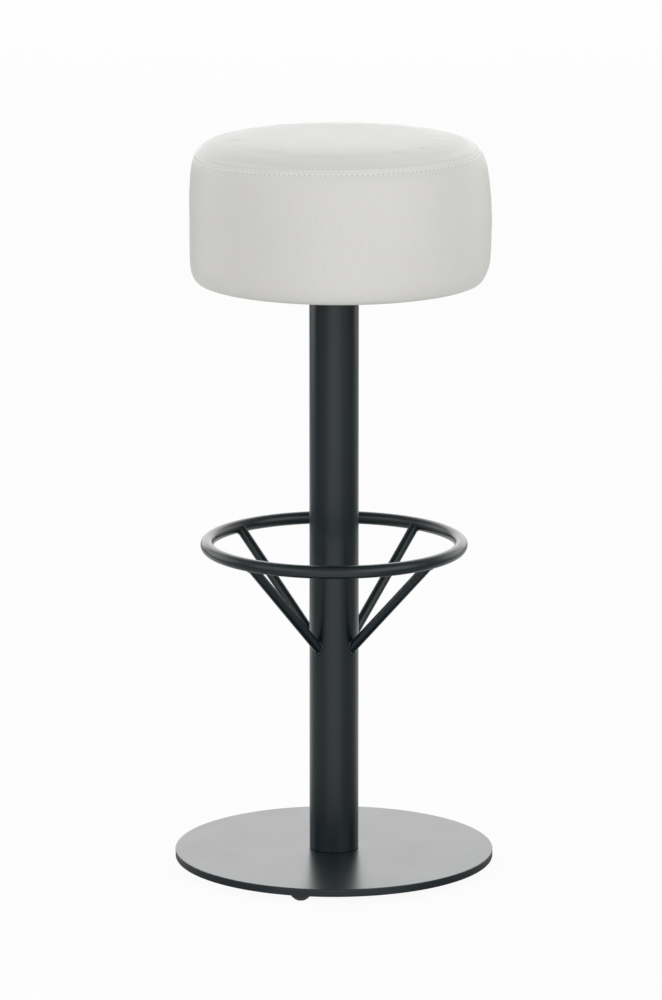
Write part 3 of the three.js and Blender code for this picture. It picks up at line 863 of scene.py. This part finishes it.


# The cover's own map, for what follows its seam: U counts stitches, and V is the distance in metres. The
# crown's V is a metre on, which keeps the painted needle-hole shade to the band: the crown's are closed by
# the pull
def mapSeam(piece, onCrown):
    layer = piece.data.uv_layers.new(name="seamMap")
    for face in piece.data.polygons:
        first = None
        for loop in face.loop_indices:
            co = piece.data.vertices[piece.data.loops[loop].vertex_index].co
            turn = math.atan2(co.y, co.x) / math.tau
            if first is None:
                first = turn
            turn -= round(turn - first)
            layer.data[loop].uv = (turn * stitch["count"], fromSeam(co) + onCrown)


# Small pleats where the cover is pulled under, which die out towards the cushion's edge
pleats = {"depth": 1.1 * mm, "count": 52, "groups": 9, "sharpness": 0.7, "wander": 6, "wanderSize": 3,
          "fade": (140 * mm, 162 * mm)}


def gathers(co):
    angle = math.atan2(co.y, co.x)
    fold = abs(noise.noise(bearing(angle) * pleats["groups"])) ** pleats["sharpness"]
    wander = pleats["wander"] * noise.noise(bearing(angle, 2) * pleats["wanderSize"])
    wave = 0.5 + 0.5 * math.sin(pleats["count"] * angle + wander)
    return pleats["depth"] * fold * wave * (1 - ease(math.hypot(co.x, co.y), *pleats["fade"]))


# The panels' rows of points: shares of the radius on the crown, degrees round the band's foot and the rest in
# millimetres. The seam allowances go inwards and down from the seam
crown = {
    "rows": (0.05, 0.1, 0.16, 0.22, 0.28, 0.34, 0.4, 0.46, 0.52, 0.58, 0.63, 0.68, 0.73, 0.78, 0.82,
             0.86, 0.89, 0.915, 0.935, 0.952, 0.966, 0.977, 0.986, 0.993, 0.998),
    "allowance": ((0, 0), (1.2, 2), (1.6, 8)),
}
band = {
    "lapRows": (0, 5, 10, 15, 20, 25, 29, 32),
    "footRows": (0, 15, 30, 45, 60, 75, 90),
    "rows": (33, 39, 46, 53, 60, 67, 74, 81, 88, 95, 102, 109, 116, 122, 128, 133, 138, 142, 145, 147.5,
             149.5, 151),
    "allowance": ((0, 0.05), (2.6, 2.5), (3, 8.5)),
}


def makePanel(name, node, line, onCrown, pinned, drop):
    seamRadius, seamZ = seamPlace()
    allowance = (crown if onCrown else band)["allowance"]
    line += [(seamRadius - inwards * mm, seamZ - down * mm) for inwards, down in allowance]
    piece = spinLine(name, line, cushion["steps"])
    closeEdit(piece, "cloth")
    mapSeam(piece, onCrown)
    swellCloth(piece, pinned)
    useModifier(piece, "SUBSURF", levels=1, render_levels=1)
    finishCover(piece)
    moveVertices(piece, lambda co: co - zAxis * drop(co))
    moveVertices(piece, slide)
    moveVertices(piece, lean)
    useModifier(piece, "SOLIDIFY", thickness=cushion["thickness"], offset=-1)
    closeEdit(piece, "cloth")
    return dress(piece, "seat", "faux_leather", whiteLeather, node)


def makeCoverTop():
    base = cushion["underside"]
    seamZ = seamPlace()[1]
    line = [(radius, base + height) for radius, height in map(crownPoint, (0, *crown["rows"]))]
    return makePanel("coverTop", "cover_top", line, True,
                     lambda co: fromSeam(co) < swelling["crownPin"] or co.z < seamZ,
                     lambda co: frontDrop(co) if co.z > seamZ else 0)


def makeCoverBand():
    base = cushion["underside"]
    lapTop = base + swelling["lapPin"]
    seamRadius, seamZ = seamPlace()
    inwards, down = swelling["allowancePin"]
    line = [(cushion["lapEdge"] + step * mm, base) for step in band["lapRows"]]
    for degrees in band["footRows"]:
        radius, height = cornerPoint(math.radians(degrees))
        line.append((radius, base + height))
    line += [(sideRadius(h * mm), base + h * mm) for h in band["rows"]]

    def pinned(co):
        hidden = math.hypot(co.x, co.y) < seamRadius - inwards and co.z > seamZ - down
        return hidden or co.z < lapTop or fromSeam(co) < swelling["bandPin"]

    return makePanel("coverBand", "cover_band", line, False, pinned,
                     lambda co: gathers(co) if co.z < lapTop else 0)


# Thread: one stitch, laid along the channel on the finished cover
def stitchRow(name, cover, radius, height, lift):
    surface = BVHTree.FromObject(cover, bpy.context.evaluated_depsgraph_get())
    clearSelection()
    bpy.ops.mesh.primitive_uv_sphere_add(segments=6, ring_count=4, radius=0.5, rotation=(0, math.pi / 2, 0))
    first = takePiece(name)
    closeEdit(first, "cloth")
    thickness = stitch["thickness"]
    first.data.transform(Matrix.Diagonal((stitch["length"], thickness, thickness, 1)))
    stitches = []
    for i in range(stitch["count"]):
        angle = math.tau * i / stitch["count"]
        spot = lean(slide(Vector((radius * math.cos(angle), radius * math.sin(angle), height))))
        spot, normal, _, _ = surface.find_nearest(spot + Vector(lift(angle)))
        tangent = normal.cross(bearing(angle).cross(zAxis)).cross(normal).normalized()
        turn = Matrix((tangent, normal.cross(tangent), normal)).transposed().to_4x4()
        copy = copyPiece(first, f"{name}_{i}")
        copy.data.transform(Matrix.Translation(spot + normal * thickness * stitch["proud"]) @ turn)
        stitches.append(copy)
    bpy.data.objects.remove(first, do_unlink=True)
    dress(joinPieces(stitches, name), "seat", "faux_leather", threadWhite)


def makeStitches(coverTop, coverBand):
    base = cushion["underside"]
    seamRadius, seamZ = seamPlace()
    down = seamZ - stitch["gap"] * stitch["straightDown"]
    stitchRow("bandTopstitch", coverBand, sideRadius(down - base), down,
              lambda angle: (mm * math.cos(angle), mm * math.sin(angle), 0))
    share = 1
    radius, height = crownPoint(share)
    while math.hypot(radius - seamRadius, height - cushion["seamHeight"]) < stitch["gap"]:
        share -= stitch["search"]
        radius, height = crownPoint(share)
    stitchRow("crownTopstitch", coverTop, radius, base + height, lambda angle: (0, 0, mm))


# Inside: the foam drum on its board and the soft edging round the board, both a little smaller than the
# cover. The crown's rows are shares of the radius, and the necks go in from the seam and up from the shoulder
inner = {
    "clear": 1.7 * mm,
    "crownClear": 1.6 * mm,
    "steps": 120,
    "boardTop": 709.4 * mm,
    "boardEdge": 155.3 * mm,
    "shoulder": 21 * mm,
    "footRings": (0, 60, 120),
    "footRound": (3 * mm, 2 * mm),
    "row": 10 * mm,
    "necks": ((6, 5), (7, 12)),
    "crownRows": (0.93, 0.88, 0.8, 0.7, 0.6, 0.5, 0.4, 0.3, 0.2, 0.1, 0),
    "edgingRows": range(22, 75, 6),  # degrees round the foot
    "edgingWidth": 4 * mm,
    "edgingLow": 1.9 * mm,
    "edgingTop": 0.3 * mm,
    "edgingFade": (155 * mm, 167 * mm),
}


def cornerRadius(height):
    turn = math.acos(1 - height / cushion["cornerHeight"])
    return cornerPoint(turn)[0] - inner["clear"]


def makeFoam():
    base = cushion["underside"]
    boardTop = inner["boardTop"]
    seamRadius = seamPlace()[0]
    top = cushion["seamHeight"] - inner["shoulder"]
    edge = cornerRadius(boardTop - base)
    line = [(radius * mm, boardTop) for radius in inner["footRings"]]
    line += [(edge - inner["footRound"][0], boardTop), (edge, boardTop + inner["footRound"][1])]
    height = cushion["cornerHeight"]
    while height < top:
        line.append((sideRadius(height) - inner["clear"], base + height))
        height += inner["row"]
    line.append((sideRadius(top) - inner["clear"], base + top))
    line += [(seamRadius - inwards * mm, base + top + up * mm) for inwards, up in inner["necks"]]
    for share in inner["crownRows"]:
        radius, height = crownPoint(share)
        line.append((radius, base + height - inner["clear"] - inner["crownClear"]))
    piece = spinLine("foamPad", line, inner["steps"])
    closeEdit(piece, "foam")
    moveVertices(piece, lambda co: co - zAxis * (frontDrop(co) if co.z > base + top else 0))
    moveVertices(piece, lean)
    dress(piece, "seat", "foam", creamFoam, "foam_block")


def makeEdging():
    base = cushion["underside"]
    boardEdge = inner["boardEdge"]
    low = base + inner["edgingLow"]
    top = inner["boardTop"] - inner["edgingTop"]
    line = [(boardEdge, low), (boardEdge + inner["edgingWidth"], low)]
    for degrees in inner["edgingRows"]:
        radius, height = cornerPoint(math.radians(degrees))
        if low < base + height < top:
            line.append((radius - inner["clear"], base + height))
    line += [(cornerRadius(top - base), top), (boardEdge, top), line[0]]
    piece = spinLine("boardEdging", line, inner["steps"])
    closeEdit(piece, "foam")

    def follow(co):
        share = ease(math.hypot(co.x, co.y), *inner["edgingFade"])
        return co + Vector((share * sideways(co.z - base), 0, 0))

    moveVertices(piece, follow)
    dress(piece, "seat", "foam", creamFoam, "board_edge_padding")


# Dust cover: a disc of spunbond cloth between plate and board, its edge turned under and stapled. It steps
# down over the cover's lap. The rings, the step and the fold are in millimetres
dustCover = {
    "thickness": 0.5 * mm,
    "steps": 168,
    "underBoard": 0.05 * mm,
    "rings": (0, 30, 60, 80, 90, 98, 105, 111, 116, 120, 123.5),
    "stepRadius": 127.4 * mm,
    "stepTop": (1.5 * mm, 0.2 * mm),
    "stepRows": ((0.6, 0.3), (2, 0), (5, 0)),  # out from the step, up from the hem
    "foldRows": ((4, 0), (0.6, 0), (0, 0.35), (0.6, 0.7)),  # in from the edge, up from the hem
    "hem": 9 * mm,
    "hemRise": 0.25 * mm,
    "foldRise": 0.75 * mm,
    "sag": 0.7 * mm,
    "sagStart": (80 * mm, 112 * mm),
    "sagEnd": (118 * mm, 126 * mm),
    "crease": 0.5 * mm,
    "creaseScale": 28,
    "creaseStart": (78 * mm, 100 * mm),
    "pleatStart": (128 * mm, 130 * mm),
}
staple = {"count": 32, "crown": 10 * mm, "wire": 0.7 * mm, "leg": 1.6 * mm, "inFromEdge": 5 * mm, "sunk": 0.3}


def makeDustCover():
    low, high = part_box("dust_cover")
    radius = halfWidth("dust_cover")
    flat = high[2] - dustCover["underBoard"]
    hem = low[2] + dustCover["hemRise"]
    step = dustCover["stepRadius"]
    line = [(ring * mm, flat) for ring in dustCover["rings"]]
    line.append((step - dustCover["stepTop"][0], flat - dustCover["stepTop"][1]))
    line += [(step + out * mm, hem + up * mm) for out, up in dustCover["stepRows"]]
    line += [(radius - inwards * mm, hem + up * mm) for inwards, up in dustCover["foldRows"]]
    line.append((radius - dustCover["hem"], hem + dustCover["foldRise"]))
    line.reverse()
    piece = spinLine("dustCover", line, dustCover["steps"])
    closeEdit(piece, "cloth")

    def work(co):
        away = math.hypot(co.x, co.y)
        pull = 0.5 + 0.5 * math.cos(staple["count"] * math.atan2(co.y, co.x))
        span = ease(away, *dustCover["sagStart"]) * (1 - ease(away, *dustCover["sagEnd"]))
        crease = abs(noise.noise(co * dustCover["creaseScale"])) * ease(away, *dustCover["creaseStart"])
        pleat = gathers(co) * ease(away, *dustCover["pleatStart"])
        return co - zAxis * (dustCover["sag"] * pull * span + dustCover["crease"] * crease + pleat)

    moveVertices(piece, work)
    useModifier(piece, "SOLIDIFY", thickness=dustCover["thickness"], offset=0)
    closeEdit(piece, "round")
    dress(piece, "seat", "dust_cloth", blackCloth, "dust_cover")


def makeStaples():
    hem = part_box("dust_cover")[0][2]
    ring = halfWidth("dust_cover") - staple["inFromEdge"]
    clearSelection()
    bpy.ops.mesh.primitive_cube_add(size=1, scale=(staple["wire"], staple["crown"], staple["wire"]))
    first = takePiece("hemStaples")
    closeEdit(first)
    openEdit(first)
    bpy.ops.mesh.select_all(action="SELECT")
    reach = staple["crown"] / 2 - staple["wire"]
    for side in (-1, 1):
        bpy.ops.mesh.bisect(plane_co=(0, side * reach, 0), plane_no=(0, 1, 0))
        bpy.ops.mesh.select_all(action="SELECT")
    pick(first, "FACE", lambda face: face.normal.z > 0 and liesFlat(face)
         and abs(face.calc_center_median().y) > reach)
    bpy.ops.mesh.extrude_region_move(TRANSFORM_OT_translate={"value": (0, 0, staple["leg"])})
    bpy.ops.mesh.select_all(action="SELECT")
    bpy.ops.mesh.normals_make_consistent(inside=False)
    closeEdit(first)
    copies = []
    for i in range(staple["count"]):
        angle = math.tau * (i + 0.5) / staple["count"]
        spot = Vector((ring * math.cos(angle), ring * math.sin(angle), hem - staple["wire"] * staple["sunk"]))
        spot.z -= gathers(spot)
        copy = copyPiece(first, f"hemStaple_{i}")
        copy.data.transform(Matrix.Translation(spot) @ Matrix.Rotation(angle, 4, "Z"))
        copies.append(copy)
    bpy.data.objects.remove(first, do_unlink=True)
    dress(joinPieces(copies, "hemStaples"), "seat", "zinc_steel", zincSteel)


makeBasePlate()
makeColumn()
makeGlides()
makeRing()
makeStruts()
print("stage: stand modelled")
makeSeatPlate()
makeBolts()
makeCollarWeld()
makeStitches(makeCoverTop(), makeCoverBand())
makeFoam()
makeEdging()
makeDustCover()
makeStaples()
print("stage: cover modelled")

# Solids whose shape is right keep it and take their finish here
finishes = {
    "base_screw": zincSteel,
    "glide_screw": zincSteel,
    "column_foot_plug": satinCoat,
    "column_head_plug": satinCoat,
    "lower_bush_carrier": satinCoat,
    "lower_bush": whiteNylon,
    "upper_bush": whiteNylon,
    "thrust_washer": whiteNylon,
    "spindle_washer": zincSteel,
    "spindle": zincSteel,
    "circlip": zincSteel,
    "seat_board": birchPly,
    "spring_washer": zincSteel,
    "tee_nut": zincSteel,
}
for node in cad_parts:
    solid = bpy.data.objects.get(node)
    for start, material in finishes.items():
        if solid and node.startswith(start):
            for place in solid.material_slots:
                place.material = material
            if not solid.material_slots:
                solid.data.materials.append(material)
            break

# Camera, at the angle that the photograph was taken from
camera = {"place": (-0.0035, -7.07, 1.9551), "pitch": 77.844, "lens": 225.6, "sensor": 36, "farthest": 100}
clearSelection()
bpy.ops.object.camera_add(location=camera["place"], rotation=(math.radians(camera["pitch"]), 0, 0))
bpy.context.scene.camera = bpy.context.object
bpy.context.object.data.lens = camera["lens"]
bpy.context.object.data.sensor_width = camera["sensor"]
bpy.context.object.data.clip_end = camera["farthest"]

# Studio: a roll of white paper under and behind the stool. The camera sees it nearly white. Reflections and
# the light that it throws back find it white only in a lane ahead and behind, and dimmer about the foot by
# painted shade
floor = {
    "size": 60,
    "colour": "#e6e6e5",
    "room": "#909090",
    "white": 0.94,
    "edge": (1.7, 1.0),  # metres to either side, from the room to the paper
    "left": 0.28,  # how white the paper still is beside the lane
    "right": 0.12,
    "cross": (-0.3, 0.3),
    "ahead": (-0.9, -2.4),  # the lane's edges, as metres along for each metre across
    "behind": (0.1, 1.1),
    # painted shade: how white reflections still find the paper close to the stool's foot, and the metres from
    # its middle over which that fades
    "foot": 0.5,
    "footShadeEdge": (0.26, 0.6),
}
clearSelection()
bpy.ops.mesh.primitive_plane_add(size=floor["size"], location=(0, 0, 0))
floorPiece = takePiece("studioFloor")


def sweepMaterial():
    material = newMaterial("paperSweep")
    path = addNode(material, "LightPath", {})
    glossy = path.outputs["Is Glossy Ray"]
    place = addNode(material, "TexCoord", {}).outputs["Object"]
    split = addNode(material, "SeparateXYZ", {"Vector": place})
    across = addNode(material, "Math", {"operation": "ABSOLUTE", 0: split.outputs["X"]})
    sweep = addNode(material, "MapRange", {
        "interpolation_type": "SMOOTHSTEP", "Value": across,
        "From Min": floor["edge"][0], "From Max": floor["edge"][1]})
    aside = addNode(material, "MapRange", {
        "Value": split.outputs["X"], "From Min": floor["cross"][0], "From Max": floor["cross"][1],
        "To Min": floor["left"], "To Max": floor["right"]})
    slope = addNode(material, "Math", {"operation": "DIVIDE", 0: split.outputs["Y"], 1: across})
    ahead, behind = [addNode(material, "MapRange", {
        "interpolation_type": "SMOOTHSTEP", "Value": slope, "From Min": floor[way][0],
        "From Max": floor[way][1], "To Min": aside, "To Max": 1}) for way in ("ahead", "behind")]
    lane = addNode(material, "Math", {"operation": "MAXIMUM", 0: ahead, 1: behind})
    # painted shade: reflections find the paper dimmer near the stool's foot, by the distance from its middle
    away = addNode(material, "VectorMath", {"operation": "LENGTH", 0: place})
    foot = addNode(material, "MapRange", {
        "interpolation_type": "SMOOTHSTEP", "Value": away, "From Min": floor["footShadeEdge"][0],
        "From Max": floor["footShadeEdge"][1], "To Min": floor["foot"], "To Max": 1})
    strip = addNode(material, "Math", {"operation": "MULTIPLY", 0: lane, 1: foot})
    plain = addNode(material, "Math", {"operation": "SUBTRACT", 0: 1, 1: glossy})
    shade = addNode(material, "Math", {"operation": "MAXIMUM", 0: plain, 1: strip})
    paper = addNode(material, "Math", {"operation": "MULTIPLY", 0: sweep, 1: shade})
    mirrored = addNode(material, "Math", {"operation": "MULTIPLY", 0: glossy, 1: paper})
    seen = addNode(material, "Math", {"operation": "MAXIMUM", 0: path.outputs["Is Camera Ray"], 1: mirrored})
    amount = addNode(material, "Math", {"operation": "MULTIPLY", 0: seen, 1: floor["white"]})
    tone = addNode(material, "Mix", {
        "data_type": "RGBA", "Factor": paper, "A": linear(floor["room"]), "B": linear(floor["colour"])})
    lit = addNode(material, "BsdfDiffuse", {"Color": tone})
    glow = addNode(material, "Emission", {"Color": (1, 1, 1, 1), "Strength": 1})
    mixed = addNode(material, "MixShader", {"Fac": amount, 1: lit, 2: glow})
    addNode(material, "OutputMaterial", {"Surface": mixed})
    return material


floorPiece.data.materials.append(sweepMaterial())

# Softboxes ahead, to the front's left and right and low at the sides, and one that lights the paper behind
lamps = {
    "frontBank": {"place": (0.1, -3.4, 0.95), "aim": (0, 0, 0.75), "size": (4.4, 1.9), "watts": 18.2},
    "frontHigh": {"place": (0, -3.0, 2.6), "aim": (0, 0, 0.7), "size": (2.4, 1.4), "watts": 5},
    "frontLeft": {"place": (-2.4, -2.0, 1.7), "aim": (0, 0, 0.6), "size": (3.2, 3.0), "watts": 29.5},
    "frontRight": {"place": (2.4, -2.0, 1.7), "aim": (0, 0, 0.6), "size": (3.2, 3.0), "watts": 42.5},
    "backdropGlow": {"place": (0, 8.6, 3.4), "aim": (0, 0, 3.0), "size": (10, 6.6), "watts": 300},
    "sideLeft": {"place": (-2.3, 1.0, 1.0), "aim": (0, 0, 0.7), "size": (1.7, 1.8), "watts": 13},
    "sideRight": {"place": (2.2, 1.5, 1.0), "aim": (0, 0, 0.7), "size": (1.6, 1.8), "watts": 10},
}
for name, lamp in lamps.items():
    clearSelection()
    away = Vector(lamp["place"]) - Vector(lamp["aim"])
    bpy.ops.object.light_add(
        type="AREA", location=lamp["place"], rotation=away.to_track_quat("Z", "Y").to_euler())
    light = takePiece(name)
    light.data.shape = "RECTANGLE"
    light.data.size, light.data.size_y = lamp["size"]
    light.data.energy = lamp["watts"]

# The world is white to the camera, and in reflections white behind and dimmer to the sides and ahead
sky = {"sides": 0.35, "cast": 0.455, "edge": (0.35, 0.8)}
world = bpy.data.worlds.new("studioWorld")
world.use_nodes = True
world.node_tree.nodes.clear()
bpy.context.scene.world = world
path = addNode(world, "LightPath", {})
way = addNode(world, "TexCoord", {}).outputs["Generated"]
split = addNode(world, "SeparateXYZ", {"Vector": way})
paper = addNode(world, "MapRange", {
    "interpolation_type": "SMOOTHSTEP", "Value": split.outputs["Y"], "From Min": sky["edge"][0],
    "From Max": sky["edge"][1], "To Min": sky["sides"], "To Max": 1})
mirrored = addNode(world, "Math", {"operation": "MULTIPLY", 0: path.outputs["Is Glossy Ray"], 1: paper})
seen = addNode(world, "Math", {"operation": "MAXIMUM", 0: path.outputs["Is Camera Ray"], 1: mirrored})
cast = addNode(world, "Math", {"operation": "MULTIPLY", 0: path.outputs["Is Diffuse Ray"], 1: sky["cast"]})
strength = addNode(world, "Math", {"operation": "MAXIMUM", 0: seen, 1: cast})
backdrop = addNode(world, "Background", {"Color": (1, 1, 1, 1), "Strength": strength})
addNode(world, "OutputWorld", {"Surface": backdrop})
bpy.context.scene.view_settings.view_transform = "Standard"
print("stage: studio set")
